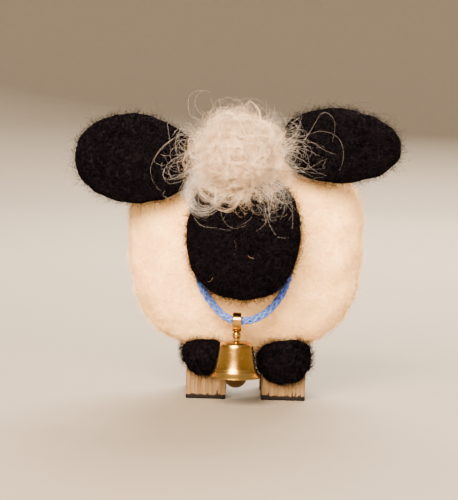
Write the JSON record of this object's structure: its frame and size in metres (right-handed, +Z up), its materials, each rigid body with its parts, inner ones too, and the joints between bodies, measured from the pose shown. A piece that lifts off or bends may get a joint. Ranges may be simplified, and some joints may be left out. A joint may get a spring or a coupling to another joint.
{
  "type": "needle-felted sheep figurine",
  "caption": "Needle-felted Valais Blacknose sheep figurine with curly forelock, black felt head, ears and knees, wooden feet, and a brass bell hung on a blue cord collar.",
  "frame": {"origin": "on the floor under the figure, at the middle of its bounding box in X and Y", "axes": "+X towards the sheep's own left side, -Y the way it faces, +Z up"},
  "size_m": [0.0642, 0.0479, 0.0603],
  "materials": {
    "cream_felt": "matt needle-felted wool, warm cream, with a short fuzz",
    "black_felt": "matt needle-felted black wool with a short fuzz",
    "cream_wool": "loose curly locks of cream-white wool, slightly translucent at the edge",
    "pale_wood": "bare pale wood with upright grain, its lower end inked black",
    "blue_cord": "braided periwinkle-blue cord with light glints",
    "gold_brass": "polished yellow brass"
  },
  "bodies": {
    "sheep": {"torso": "cream_felt", "neck": "cream_felt", "tail": "cream_felt", "head": "black_felt", "ear_right": "black_felt", "ear_left": "black_felt", "forelock": "cream_wool", "collar": "blue_cord", "leg_front_right": "pale_wood", "leg_front_left": "pale_wood", "leg_rear_right": "pale_wood", "leg_rear_left": "pale_wood", "knee_front_right": "black_felt", "knee_front_left": "black_felt", "knee_rear_right": "black_felt", "knee_rear_left": "black_felt"},
    "bell": {"bell_loop": "gold_brass", "bell_shell": "gold_brass"},
    "clapper": {"clapper": "gold_brass"}
  },
  "joints": [
    {"name": "bell_swing", "type": "hinge", "parent": "sheep", "child": "bell", "pos_m": [0.0005, -0.0112, 0.0167], "axis": [-1, 0, 0], "range_deg": [0, 75]},
    {"name": "clapper_swing", "type": "hinge", "parent": "bell", "child": "clapper", "pos_m": [0.0005, -0.0112, 0.0103], "axis": [-1, 0, 0], "range_deg": [-15, 15]}
  ]
}
